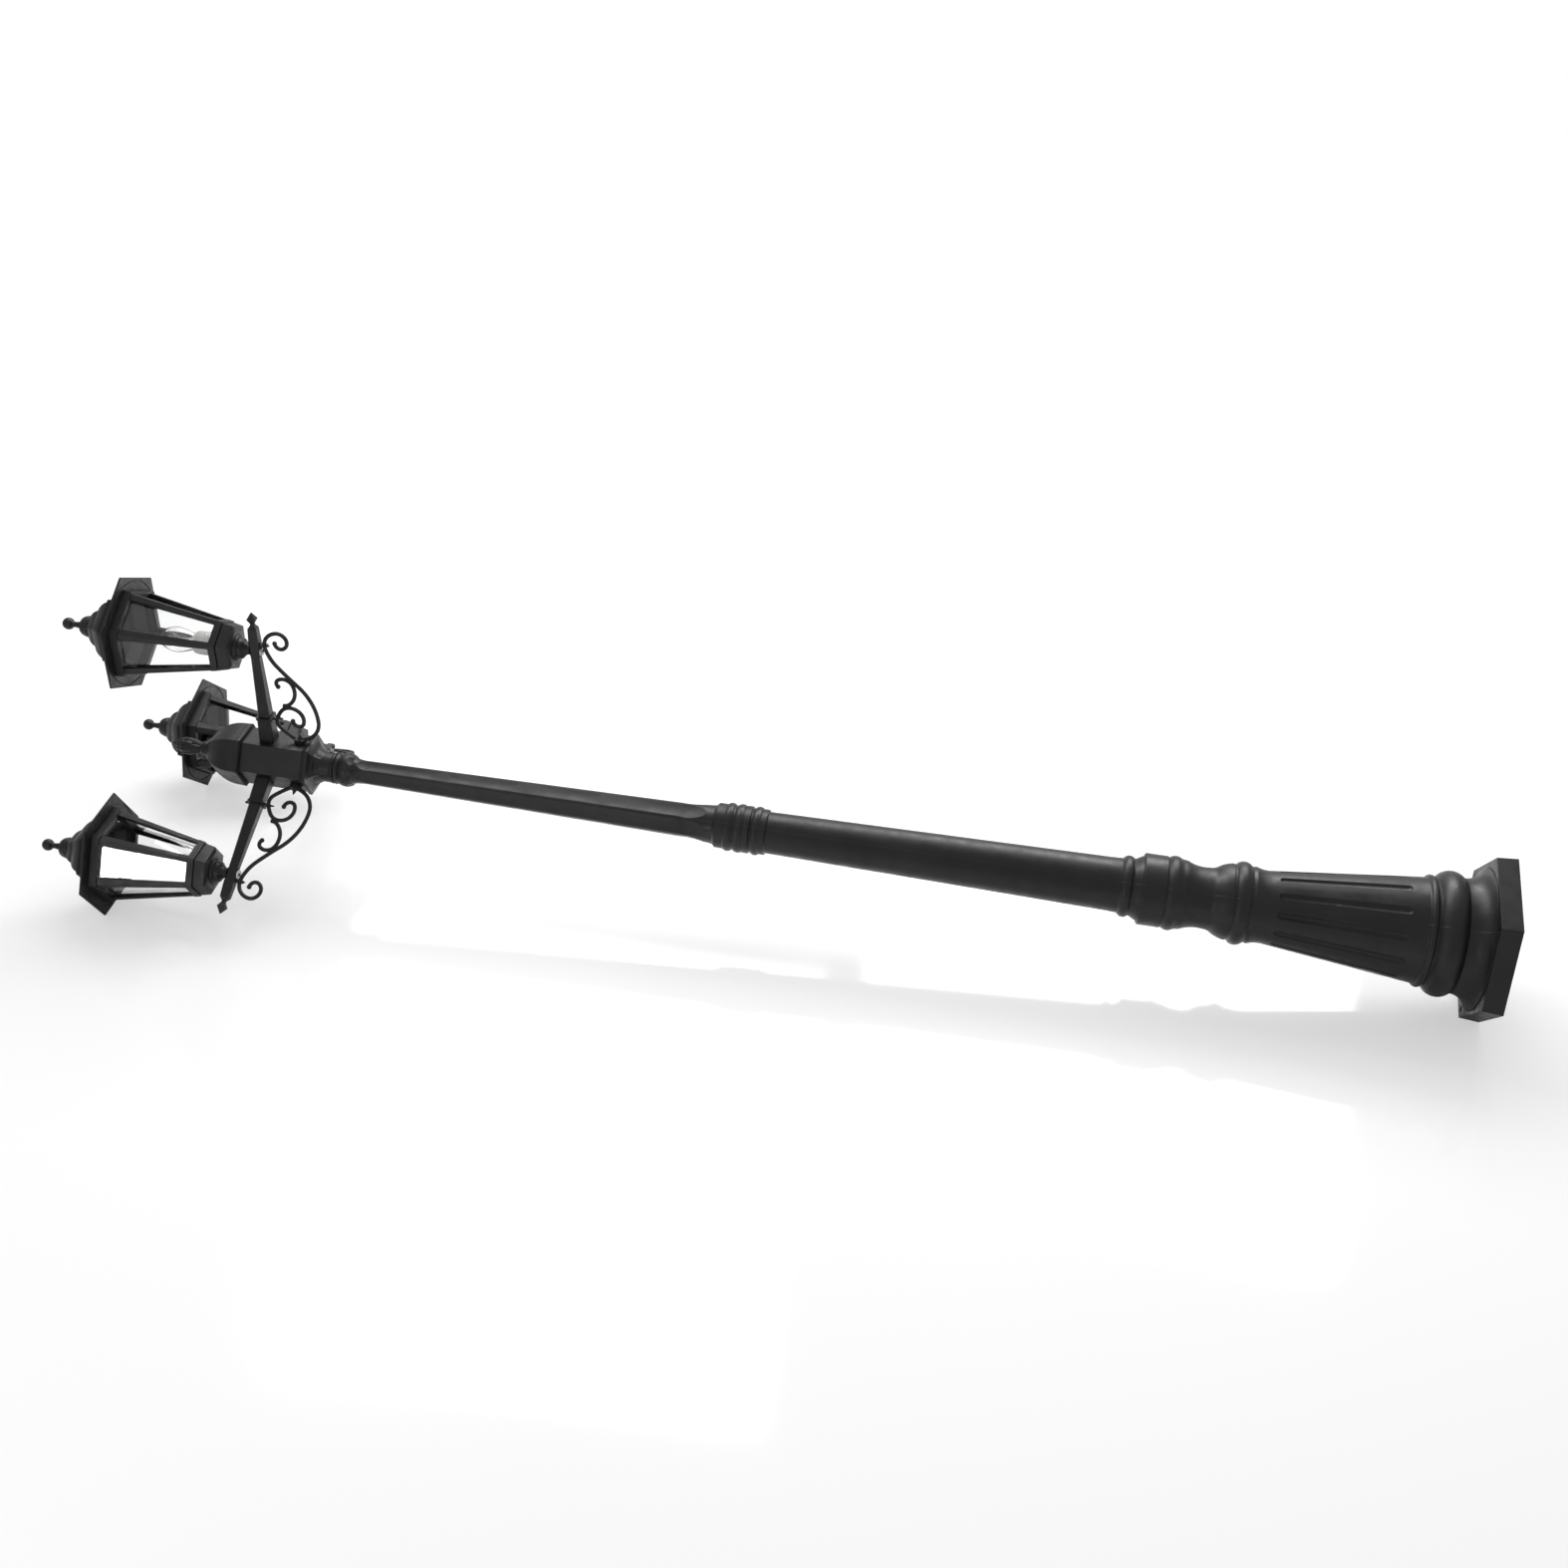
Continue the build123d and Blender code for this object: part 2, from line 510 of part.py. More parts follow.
def scroll_paths():
    """The bracket's three scrolls, in the plane of the arm, as chains of tangent arcs. Each arc
    is a radius and a turn, positive to the left."""
    k = SCROLL_K

    def place(out, down):
        return (STEM_RADIUS + out * k, ARM_TOP_Z - down * k)

    main = (place(16.7, 39.5), 177.5, [(8.6, 123.8), (13.9, 158.2), (24.6, 93.3), (67.1, 28.4), (434.7, 5.5),
                                       (91.1, -44.3), (36.4, -70.5), (40.4, 12.0)])
    hook = (place(-61.4, 36.2), 47.7, [(7.7, -99.1), (14.9, -105.0), (31.2, -72.4), (15.8, -43.3)])
    round_curl = (place(-121.8, 53.4), 179.4, [(8.8, 159.0), (19.7, 163.5), (48.7, 23.6), (14.4, 60.8),
                                               (136.1, 13.4)])
    paths = []
    for start, heading, arcs in (main, hook, round_curl):
        edges = []
        here = Vector(*start)
        course = Vector(cos(radians(heading)), sin(radians(heading)))
        for radius, turn in arcs:
            arc = JernArc(here, course, radius * k, turn)
            edges.append(arc)
            here, course = arc @ 1, arc % 1
        paths.append(edges)
    return paths


def hanger(x, width, high, low, tip):
    """Collar round a scroll, from the arm's underside down to a small point."""
    half = width / 2
    strap = Pos(x, 0, (high + low) / 2) * Box(width, HANGER_T, high - low)
    drop = turned([(0, tip), (half * 0.5, tip + 1), (half, low + 0.5), (0, low + 0.5)])
    return strap + Pos(x, 0, 0) * drop


def scroll():
    """Round-bar bracket: three scrolls, two collars up to the arm and a pad on the hub."""
    limbs = []
    for edges in scroll_paths():
        line = Wire(edges)
        section = Plane(origin=line @ 0, z_dir=line % 0) * Circle(SCROLL_ROD_R)
        limbs.append(sweep(section, path=line))
        limbs.append(Pos(*(line @ 0)) * Sphere(SCROLL_ROD_R * 1.2))
    body = Plane.XZ * limbs[0]
    for limb in limbs[1:]:
        body += Plane.XZ * limb
    k, top = SCROLL_K, ARM_TOP_Z
    body += hanger(BLOCK_OUT - 2.3, 4, top - BLOCK_H, top - 27.5 * k, top - 31.5 * k)
    body += hanger(FERRULE_END - FERRULE_BAND / 2, 4, ARM_AXIS_Z - BAND_SIDE / 2, top - 31.5 * k, top - 38.5 * k)
    pad = Pos(PAD_T / 2, 0, 0) * chamfer(Box(PAD_T, 12, 17).edges().filter_by(Axis.X), 2)
    nub = Plane.YZ * Pos(0, 0, PAD_T - 1) * Cone(4.5, 0.8, PAD_NUB_L, align=(Align.CENTER, Align.CENTER, Align.MIN))
    return body + Pos(HUB_FACE, 0, top - 61.8 * k) * (pad + nub)


# ------------------------------------------------------------------ one lantern, up from the arm
def stem():
    """Hollow stem that the lantern swivels on, with a lock nut under the arm's block."""
    corner, nut_top = NUT_ACROSS / 2 / COS30, -BLOCK_H - SEAT
    nut_low = nut_top - LOCK_NUT_T
    shank = tube(STEM_R, STEM_BORE_R, nut_low - SEAT, CUP_FLOOR + 6)
    nut = hex_frustum(corner, nut_low, corner, nut_top)
    return shank + (nut - rod(STEM_R - 1, nut_low, nut_top))


def cup():
    """Cup under the cage, round at its neck and six-sided at its rim, open to the cage."""
    neck, r, h = CUP_NECK_R, CUP_R, CUP_H
    hip, under = h * 0.608, h * 0.545
    body = turned([
        (0, SEAT), (neck, SEAT), (neck, h * 0.115), (r * 0.28, h * 0.215), (r * 0.38, h * 0.29),
        (r * 0.388, h * 0.42), (r * 0.476, h * 0.46), (r * 0.488, h * 0.52), (r * 0.61, h * 0.557),
        (r * 0.634, hip), (0, hip)])
    body += hex_frustum(r * 0.732, under, r - 3.5, hip)
    body += hex_frustum(r - 3.5, hip, r, h)
    body -= hex_frustum(CUP_R - 9.5, CUP_FLOOR, CUP_R - 8, CUP_H)
    body -= rod(STEM_R + FIT / 2, 0, CUP_FLOOR)
    return body


def stem_nut():
    """Nut on the stem's upper end, clamping the cup."""
    corner = NUT_ACROSS / 2 / COS30
    return hex_frustum(corner, CUP_FLOOR, corner, CUP_FLOOR + NUT_T) - rod(STEM_R, CUP_FLOOR, CUP_FLOOR + NUT_T)


def side_panel(low, high, low_inset, high_inset, depth_from):
    """Prism outwards through one side of the cage, facing +X, its upright edges inset from the
    corners."""
    low_half = cage_r(low) / 2 - low_inset
    high_half = cage_r(high) / 2 - high_inset
    points = [(-low_half, low), (low_half, low), (high_half, high), (-high_half, high)]
    face = Plane.YZ.offset(depth_from) * make_face(Polyline(points, close=True))
    return extrude(face, amount=CAGE_RING_R)


def cage_r(z):
    """Corner radius of the cage's outside at a level."""
    return CAGE_FOOT_R + CAGE_SLOPE * (z - CAGE_Z)


def cage():
    """Six sloping corner bars between a sill and a deeper top ring."""
    low, high = CAGE_Z, CAGE_Z + CAGE_H
    ring_low = high - CAGE_RING_H
    body = hex_frustum(CAGE_FOOT_R, low, CAGE_TOP_R, high)
    body += hex_frustum(CAGE_RING_R - 1.2, ring_low, CAGE_RING_R, high)
    body += hex_frustum(CAGE_FOOT_R + 1, low, cage_r(low + CAGE_SILL_H) + 1, low + CAGE_SILL_H)
    body -= hex_frustum(CAGE_FOOT_R - CAGE_WALL, low, CAGE_TOP_R - CAGE_WALL, high)
    seam_r = CAGE_FOOT_R - CAGE_SEAM_DEEP
    body -= hex_frustum(CAGE_RING_R, low, CAGE_RING_R, low + CAGE_SEAM_H) - hex_frustum(
        seam_r, low, seam_r, low + CAGE_SEAM_H)
    window = side_panel(low + CAGE_SILL_H, ring_low, BAR_LOW, BAR_HIGH, CAGE_FOOT_R / 2)
    for cutter in around(window, 6, 30):
        body -= cutter
    return body


def panes():
    """Six flat panes behind the bars, standing on the cup's rim."""
    low, high = CAGE_Z, CAGE_Z + CAGE_H - 9
    outside = CAGE_WALL + SEAT
    inside = outside + PANE_T / COS30
    shell = hex_frustum(CAGE_FOOT_R - outside, low, cage_r(high) - outside, high)
    shell -= hex_frustum(CAGE_FOOT_R - inside, low, cage_r(high) - inside, high)
    side_inset = outside / 2 + PANE_SIDE_GAP
    panel = side_panel(low, high, side_inset, side_inset, 10)
    return Compound(children=[(shell & piece).solid() for piece in around(panel, 6, 30)])


def roof():
    """Six-sided ogee roof with a wide brim, hollow, with a skirt that drops into the cage."""
    z = BRIM_Z
    drum_low, drum_high = z + ROOF_DRUM_Z, z + ROOF_DRUM_Z + ROOF_DRUM_H
    dome = drum_high + ROOF_DOME_H
    r, top = ROOF_DRUM_R, ROOF_TOP_R
    body = hex_turned([
        (BRIM_R - 0.6, z), (BRIM_R, z + 0.6), (BRIM_R - 0.3, z + BRIM_T), (r + 3, drum_low - 1, -1.0),
        (r, drum_low), (r, drum_high - 5), (r + 1.2, drum_high - 4), (r + 1.2, drum_high - 1),
        (r - 3, drum_high), (top + 13, drum_high + 19, 2.2), (top, dome, 1.6)])
    t = ROOF_SHELL
    body -= hex_turned([
        (SKIRT_R - 3, z), (SKIRT_R - 3, z + 3), (r - t, drum_low + 1), (r - t, drum_high - 2),
        (top + 13 - t - 1, drum_high + 16, 2.0), (top - t, dome - 5, 1.2)])
    skirt = hex_frustum(SKIRT_R, z - 5, SKIRT_R, z + 1) - hex_frustum(SKIRT_R - 3, z - 5, SKIRT_R - 3, z + 1)
    body += skirt
    body -= tube(BRIM_GROOVE_R + 1.2, BRIM_GROOVE_R - 1.2, z, z + 1.2)
    collar = turned([
        (0, dome - 1.5), (top - 3, dome - 1.5), (top - 2, dome + 2, 0.6), (top - 2.5, dome + 7, 0.6),
        (top - 6, dome + KNOB_COLLAR_H - 1, 0.8), (top - 7, dome + KNOB_COLLAR_H), (0, dome + KNOB_COLLAR_H)])
    body += collar
    return body - rod(KNOB_STUD_R + FIT, dome - 8, dome + KNOB_COLLAR_H)


def knob():
    """Ball knob with a waisted neck, on a stud through the roof."""
    dome = BRIM_Z + ROOF_DRUM_Z + ROOF_DRUM_H + ROOF_DOME_H
    seat = dome + KNOB_COLLAR_H
    ball = dome + KNOB_RISE
    under_ball = ball - KNOB_R * 0.5
    neck = turned([
        (0, dome - 10), (KNOB_STUD_R, dome - 10), (KNOB_STUD_R, seat), (KNOB_STUD_R + 4.6, seat),
        (KNOB_STUD_R + 2.1, seat + 5, -0.6), (KNOB_STUD_R + 1.6, seat + 9), (KNOB_R * 0.8, under_ball, -1.5),
        (0, under_ball)])
    return neck + Pos(0, 0, ball) * Sphere(KNOB_R)


def lampholder():
    """Socket pillar on the cup's floor, with a blind socket bore and a wire space below."""
    low, high = CUP_FLOOR, HOLDER_TOP
    body = turned([
        (0, low), (HOLDER_R + 3.5, low), (HOLDER_R + 3.5, low + 3), (HOLDER_R, low + 5), (HOLDER_R, high - 22),
        (HOLDER_R - 1, high - 21), (HOLDER_R - 1, high - 1.5), (HOLDER_R - 2.5, high), (0, high)])
    body -= rod(CAP_SHELL_R + RUN, high - CAP_SHELL_L, high)
    body -= rod(HOLDER_R - 3, low, high - CAP_SHELL_L - 6)
    return body - rod(WIRE_R, low, high - CAP_SHELL_L)


def lamp_cap():
    """Screw cap of the lamp, with its contact."""
    low, high = HOLDER_TOP - CAP_SHELL_L + 3, HOLDER_TOP + 2
    return turned([
        (0, low - 1.5), (2.2, low - 1.5), (2.6, low), (CAP_SHELL_R - 1.5, low + 1), (CAP_SHELL_R, low + 3),
        (CAP_SHELL_R, high), (CAP_SHELL_R - 1, high), (CAP_SHELL_R - 1, low + 4), (0, low + 2)])


def lamp_glass():
    """Round-ended glass envelope, a thin shell open at its foot."""
    low, r, h = HOLDER_TOP + 2, CAP_SHELL_R - 1, BULB_L - 2
    outside = [(r + 0.8, low + 1), (BULB_R * 0.82, low + h * 0.19), (BULB_R, low + h * 0.48),
               (BULB_R * 0.82, low + h * 0.76), (0, low + h)]
    inside = [(0, low + h - 1.4), (BULB_R * 0.82 - 1, low + h * 0.75), (BULB_R - 1, low + h * 0.48),
              (BULB_R * 0.82 - 1, low + h * 0.2), (r - 1, low + 1)]
    skin = [Spline(outside), Line(outside[-1], inside[0]), Spline(inside)]
    foot = Polyline(inside[-1], (r - 1, low - 6), (r, low - 6), (r, low + 0.2), outside[0])
    return revolve(Plane.XZ * make_face(skin + [foot]), Axis.Z)


# ------------------------------------------------------------------ export
def main():
    os.makedirs("parts", exist_ok=True)
    export("base_plate", base_plate())
    export("pedestal", pedestal())
    export("pedestal_screws", flange_screws())
    export("coupling_sleeve", coupling_sleeve())
    export("low_spigot", spigot(LOW_SPIGOT_R, WALL, (SEAM_PEDESTAL + SEAM_SLEEVE) / 2, *LOW_REACH))
    export("lower_shaft", lower_shaft())
    export("mid_spigot", spigot(MID_SPIGOT_R, WALL, SEAM_MIDDLE, SPIGOT_REACH, SPIGOT_REACH))
    export("upper_shaft", upper_shaft())
    export("hub_spigot", spigot(HUB_SPIGOT_R, WALL, SEAM_HUB, SPIGOT_REACH, 22))
    export("hub", hub())
    export("neck_screw", grub_screw())
    export("terminal_block", terminal_block())
    export("arm_nuts", Compound(children=[Rot(0, 0, angle) * arm_nut() for angle in ARM_ANGLES.values()]))
    export("cap_gasket", cap_gasket())
    export("hub_cap", hub_cap())
    export("cap_stud", cap_stud())
    export("hub_bud", hub_bud())
    arm_pieces = {"arm": arm(), "ferrule": arm_ferrule(), "spear": arm_spear(), "scroll": scroll()}
    lantern_pieces = {
        "stem": stem(), "stem_nut": stem_nut(), "cup": cup(), "cage": cage(), "panes": panes(), "roof": roof(),
        "knob": knob(), "lampholder": lampholder(), "lamp_cap": lamp_cap(), "lamp_glass": lamp_glass()}
    for side, angle in ARM_ANGLES.items():
        for piece, shape in arm_pieces.items():
            export(side + "_" + piece, Rot(0, 0, angle) * shape)
        place = Rot(0, 0, angle) * Pos(STEM_RADIUS, 0, ARM_TOP_Z) * Rot(0, 0, HEAD_TURNS[side])
        for piece, shape in lantern_pieces.items():
            export(side + "_" + piece, place * shape)


main()
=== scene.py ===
"""Looks for the triple head lamp post, in metres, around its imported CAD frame.

The post lies on a white studio floor, so the floor is a plane that leans against its plate and
two of its lanterns. +Z runs up the post, and the camera looks from its -Y side.
"""
import json
import math

import bpy
from mathutils import Euler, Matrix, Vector


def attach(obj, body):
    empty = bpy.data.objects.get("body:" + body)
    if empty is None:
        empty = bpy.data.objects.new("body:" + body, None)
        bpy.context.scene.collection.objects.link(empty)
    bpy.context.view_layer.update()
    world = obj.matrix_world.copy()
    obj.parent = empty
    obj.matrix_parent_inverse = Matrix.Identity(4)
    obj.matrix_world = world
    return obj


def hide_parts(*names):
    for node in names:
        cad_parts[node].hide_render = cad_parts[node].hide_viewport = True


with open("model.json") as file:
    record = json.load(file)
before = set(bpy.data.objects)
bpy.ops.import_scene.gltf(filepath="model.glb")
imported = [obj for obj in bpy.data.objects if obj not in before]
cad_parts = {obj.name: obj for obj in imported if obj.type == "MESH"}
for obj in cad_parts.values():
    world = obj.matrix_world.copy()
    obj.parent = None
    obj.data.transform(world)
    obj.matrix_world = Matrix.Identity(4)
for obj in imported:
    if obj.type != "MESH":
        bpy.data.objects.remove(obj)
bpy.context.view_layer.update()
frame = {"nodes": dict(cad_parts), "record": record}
nodes = frame["nodes"]

# Sizes shared with the CAD, in metres
STEM_RADIUS = 0.1998
HOLDER_TOP_Z = 1.981
HOLDER_R = 0.018
BUD_LOW_Z = 1.9915
SIDES = {"right": -30.0, "left": -150.0, "back": 90.0}   # where each arm points, in degrees

# Camera at the photograph's viewing angle
CAMERA_LENS = 43.456
CAMERA_SENSOR = 36.0
CAMERA_FAR = 100.0
CAMERA_AT = (0.37414, -2.84358, 0.71691)
CAMERA_TURN = (130.4997, 79.0992, 45.9435)               # in degrees

# Paint
PAINT_DARK = (0.0050, 0.0047, 0.0052)
PAINT_LIGHT = (0.0100, 0.0094, 0.0100)
PAINT_SMOOTHEST = 0.36
PAINT_ROUGHEST = 0.50
EDGE_R = 0.0009
SEAM_NORMAL = (0.9703, 0.2419, 0.0)                      # square to the plane where the moulds met
SEAM_HALF = 0.0009

# Bud, in millimetres
MM_PER_M = 1000
BUD_OUTLINE = [(0, 12.0), (3, 11.8), (9.5, 9.6), (20, 12.9), (29, 14.2), (37, 13.7), (45, 11.1),
               (52, 7.2), (57, 3.6), (60.3, 0.6)]        # height and radius
BUD_H = 60.3
BUD_ROWS = 110
BUD_AROUND = 144
LEAVES_FROM = 8                                          # height under which the bud is plain
LEAF_ROWS = ((9.0, 27.0, 0.0), (22.0, 26.0, 0.5), (36.0, 24.5, 0.0))   # foot, length and shift
LEAF_TURN = 60                                           # degrees that one leaf takes
LEAF_DEPTH = 0.20                                        # relief as a share of the bud's radius

# Lamp's inside, in metres. Rises are above the glass mount's foot.
MOUNT_FOOT = 0.003                                       # its foot above the lampholder's top
MOUNT_OUTLINE = [(0.0002, 0), (0.0075, 0), (0.0068, 0.003), (0.0035, 0.010), (0.0026, 0.016),
                 (0.0030, 0.020), (0.0018, 0.0225), (0.0002, 0.023)]   # radius and rise
MOUNT_AROUND = 32
COIL_RISE = 0.0345
COIL_HALF_SPAN = 0.0097
COIL_R = 0.0004
COIL_BOW = 0.0045
COIL_WAVE = 0.0012
COIL_TURNS = 22
COIL_STEPS = 240
COIL_WIRE_R = 0.00014
LEAD_R = 0.00035
LEAD_PATH = ((0.0012, 0.019), (0.0022, 0.023), (0.0060, 0.028), (0.0092, 0.033),
             (0.0098, COIL_RISE))                        # distance from the axis and rise

# Lampholder's grip ring, in metres
GRIP_OUTLINE = [(-0.0198, -0.0002), (-0.0196, 0.0), (-0.0186, 0.0005), (-0.0062, 0.0005),
                (-0.0050, 0.0), (-0.0048, -0.0002)]      # height from the holder's top, and offset
GRIP_INSET = 0.001                                       # the ring's surface inside HOLDER_R
GRIP_RIBS = 36
GRIP_RIB_H = 0.00045
GRIP_AROUND = 216

# Studio
FLOOR_UP = Vector((0.87703, -0.47944, 0.03084)).normalized()
FLOOR_POINT = Vector((-0.1271, 0.0317, 0.0))
FLOOR_HALF = 9.0
FLOOR_FADE = (1.3, 2.6)                                  # distances from the post's middle
FLOOR_WHITE_SHARE = 0.5
POST_MIDDLE = 1.0
WORLD_LIGHT = 0.55

# Each light's name, place, target, size and power
LIGHTS = (
    ("top_softbox", (2.3, 0.3, 2.0), (0, 0, 1.8), (1.3, 1.4), 42),
    ("foot_softbox", (2.0, 0.7, 0.5), (0, 0, 0.4), (1.0, 1.3), 34),
    ("front_softbox", (-0.691, -2.065, 2.208), (-0.175, -0.143, 2.009), (0.16, 0.30), 4.2),
)


# ---------------------------------------------------------------- camera
def make_camera():
    data = bpy.data.cameras.new("photo_camera")
    data.lens = CAMERA_LENS
    data.sensor_width = CAMERA_SENSOR
    data.clip_end = CAMERA_FAR
    cam = bpy.data.objects.new("photo_camera", data)
    bpy.context.scene.collection.objects.link(cam)
    cam.location = CAMERA_AT
    cam.rotation_euler = Euler([math.radians(a) for a in CAMERA_TURN])
    bpy.context.scene.camera = cam


# ---------------------------------------------------------------- materials
def new_material(name):
    mat = bpy.data.materials.new(name)
    mat.use_nodes = True
    tree = mat.node_tree
    shader = tree.nodes["Principled BSDF"]
    return mat, tree, shader


def add_node(tree, kind, inputs=None, **settings):
    node = tree.nodes.new(kind)
    for key, value in settings.items():
        setattr(node, key, value)
    for key, value in (inputs or {}).items():
        node.inputs[key].default_value = value
    return node


def object_noise(tree, scale, detail=3.0, rough=0.55):
    where = add_node(tree, "ShaderNodeTexCoord")
    noise = add_node(tree, "ShaderNodeTexNoise", {"Scale": scale, "Detail": detail, "Roughness": rough})
    tree.links.new(where.outputs["Object"], noise.inputs["Vector"])
    return noise


def ramp(tree, source, low, high, low_at=0.35, high_at=0.65):
    node = add_node(tree, "ShaderNodeValToRGB")
    node.color_ramp.elements[0].position = low_at
    node.color_ramp.elements[0].color = (*low, 1)
    node.color_ramp.elements[1].position = high_at
    node.color_ramp.elements[1].color = (*high, 1)
    tree.links.new(source, node.inputs["Fac"])
    return node


def grey(level):
    return (level,) * 3


def bump_after(tree, height, normal, strength, distance):
    bump = add_node(tree, "ShaderNodeBump", {"Strength": strength, "Distance": distance})
    tree.links.new(height, bump.inputs["Height"])
    tree.links.new(normal, bump.inputs["Normal"])
    return bump.outputs["Normal"]


def seam_height(tree):
    """Height of a thin ridge where the two mould halves met, in one plane through the axis."""
    where = add_node(tree, "ShaderNodeTexCoord")
    off = add_node(tree, "ShaderNodeVectorMath", {1: SEAM_NORMAL}, operation="DOT_PRODUCT")
    away = add_node(tree, "ShaderNodeMath", operation="ABSOLUTE")
    ridge = add_node(tree, "ShaderNodeMapRange",
                     {"From Min": 0.0, "From Max": SEAM_HALF, "To Min": 1.0, "To Max": 0.0})
    tree.links.new(where.outputs["Object"], off.inputs[0])
    tree.links.new(off.outputs["Value"], away.inputs[0])
    tree.links.new(away.outputs[0], ridge.inputs["Value"])
    return ridge.outputs["Result"]


def paint_material(name, with_seam):
    """Satin charcoal paint on cast metal: orange peel, faint mottling and softened edges."""
    mat, tree, shader = new_material(name)
    mottle = object_noise(tree, 14.0)
    colour = ramp(tree, mottle.outputs["Fac"], PAINT_DARK, PAINT_LIGHT)
    tree.links.new(colour.outputs["Color"], shader.inputs["Base Color"])
    patch = object_noise(tree, 55.0)
    sheen = ramp(tree, patch.outputs["Fac"], grey(PAINT_SMOOTHEST), grey(PAINT_ROUGHEST))
    tree.links.new(sheen.outputs["Color"], shader.inputs["Roughness"])
    shader.inputs["Specular IOR Level"].default_value = 0.36
    edge = add_node(tree, "ShaderNodeBevel", {"Radius": EDGE_R}, samples=4)
    normal = edge.outputs["Normal"]
    if with_seam:
        normal = bump_after(tree, seam_height(tree), normal, 0.6, 0.0005)
    cast = object_noise(tree, 120.0, 4.0)
    normal = bump_after(tree, cast.outputs["Fac"], normal, 0.10, 0.0006)
    peel = object_noise(tree, 900.0, 2.0)
    normal = bump_after(tree, peel.outputs["Fac"], normal, 0.10, 0.0002)
    tree.links.new(normal, shader.inputs["Normal"])
    return mat


def glass_material(name, colour, wave):
    """Clear glass with a faint draw wave."""
    mat, tree, shader = new_material(name)
    tint = object_noise(tree, 3.0, 1.0)
    shade = ramp(tree, tint.outputs["Fac"], tuple(c * 0.985 for c in colour), colour)
    tree.links.new(shade.outputs["Color"], shader.inputs["Base Color"])
    shader.inputs["Transmission Weight"].default_value = 1.0
    shader.inputs["IOR"].default_value = 1.45
    shader.inputs["Roughness"].default_value = 0.0
    ripple = object_noise(tree, 9.0, 1.0)
    bump = add_node(tree, "ShaderNodeBump", {"Strength": wave, "Distance": 0.001})
    tree.links.new(ripple.outputs["Fac"], bump.inputs["Height"])
    tree.links.new(bump.outputs["Normal"], shader.inputs["Normal"])
    return mat


def metal_material(name, colour, rough):
    """Bare metal: a faint cloud in its colour and a fine grain in its gloss."""
    mat, tree, shader = new_material(name)
    cloud = object_noise(tree, 40.0)
    shade = ramp(tree, cloud.outputs["Fac"], tuple(c * 0.9 for c in colour), colour)
    tree.links.new(shade.outputs["Color"], shader.inputs["Base Color"])
    shader.inputs["Metallic"].default_value = 1.0
    grain = object_noise(tree, 500.0, 2.0)
    spread = ramp(tree, grain.outputs["Fac"], grey(rough - 0.06), grey(rough + 0.08))
    tree.links.new(spread.outputs["Color"], shader.inputs["Roughness"])
    return mat


def dull_material(name, low, high, rough, grain_scale):
    """Plastic or rubber: a faint cloud in its colour and a fine grain."""
    mat, tree, shader = new_material(name)
    cloud = object_noise(tree, 45.0)
    colour = ramp(tree, cloud.outputs["Fac"], low, high)
    tree.links.new(colour.outputs["Color"], shader.inputs["Base Color"])
    shader.inputs["Roughness"].default_value = rough
    shader.inputs["Specular IOR Level"].default_value = 0.35
    grain = object_noise(tree, grain_scale, 1.0)
    bump = add_node(tree, "ShaderNodeBump", {"Strength": 0.15, "Distance": 0.0001})
    tree.links.new(grain.outputs["Fac"], bump.inputs["Height"])
    tree.links.new(bump.outputs["Normal"], shader.inputs["Normal"])
    return mat


MATERIALS = {
    "dark_paint": paint_material("charcoal_paint", False),
    "black_rubber": dull_material("black_rubber", (0.0022, 0.0022, 0.0024), (0.0040, 0.0040, 0.0042),
                                  0.75, 900.0),
    "steel": metal_material("zinc_steel", (0.42, 0.42, 0.43), 0.38),
    "white_plastic": dull_material("holder_plastic", (0.62, 0.61, 0.59), (0.70, 0.69, 0.67), 0.45, 1400.0),
    "pane_glass": glass_material("pane_glass", (0.993, 0.998, 0.997), 0.03),
    "plated_cap": metal_material("plated_cap", (0.72, 0.70, 0.67), 0.22),
    "lamp_glass": glass_material("lamp_glass", (0.99, 0.99, 0.99), 0.0),
}
POST_PAINT = paint_material("charcoal_paint_post", True)
POST_NODES = ("base_plate", "pedestal", "coupling_sleeve", "lower_shaft", "upper_shaft")


def dress(obj, material):
    obj.data.materials.clear()
    obj.data.materials.append(material)


def dress_cad():
    for part in frame["record"]["subparts"]:
        name = part["node"]
        dress(nodes[name], POST_PAINT if name in POST_NODES else MATERIALS[part["material_slot"]])


# ---------------------------------------------------------------- finer pieces
def piece(name, points, faces, slot_name, body):
    """A smooth mesh of its own, in one material, that moves with one body."""
    data = bpy.data.meshes.new(name)
    data.from_pydata(points, [], faces)
    data.polygons.foreach_set("use_smooth", [True] * len(faces))
    obj = bpy.data.objects.new(name, data)
    bpy.context.scene.collection.objects.link(obj)
    dress(obj, MATERIALS[slot_name])
    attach(obj, body)
    return obj


def ring_faces(rows, around, close_ends=True):
    """Faces between rows of points that each go round once."""
    faces = []
    for row in range(rows - 1):
        for k in range(around):
            here, there = row * around, (row + 1) * around
            faces.append((here + k, here + (k + 1) % around, there + (k + 1) % around, there + k))
    if close_ends:
        faces.append(tuple(reversed(range(around))))
        faces.append(tuple((rows - 1) * around + k for k in range(around)))
    return faces


def add_mesh(points, faces, more_points, more_faces):
    """Adds a second mesh to the lists of the first."""
    faces += [tuple(i + len(points) for i in face) for face in more_faces]
    points += more_points


def between(pairs, x):
    """Value at x on a line that is level at each of the pairs."""
    for (x0, y0), (x1, y1) in zip(pairs, pairs[1:]):
        if x <= x1:
            share = (x - x0) / (x1 - x0)
            return y0 + (y1 - y0) * share * share * (3 - 2 * share)
    return pairs[-1][1]


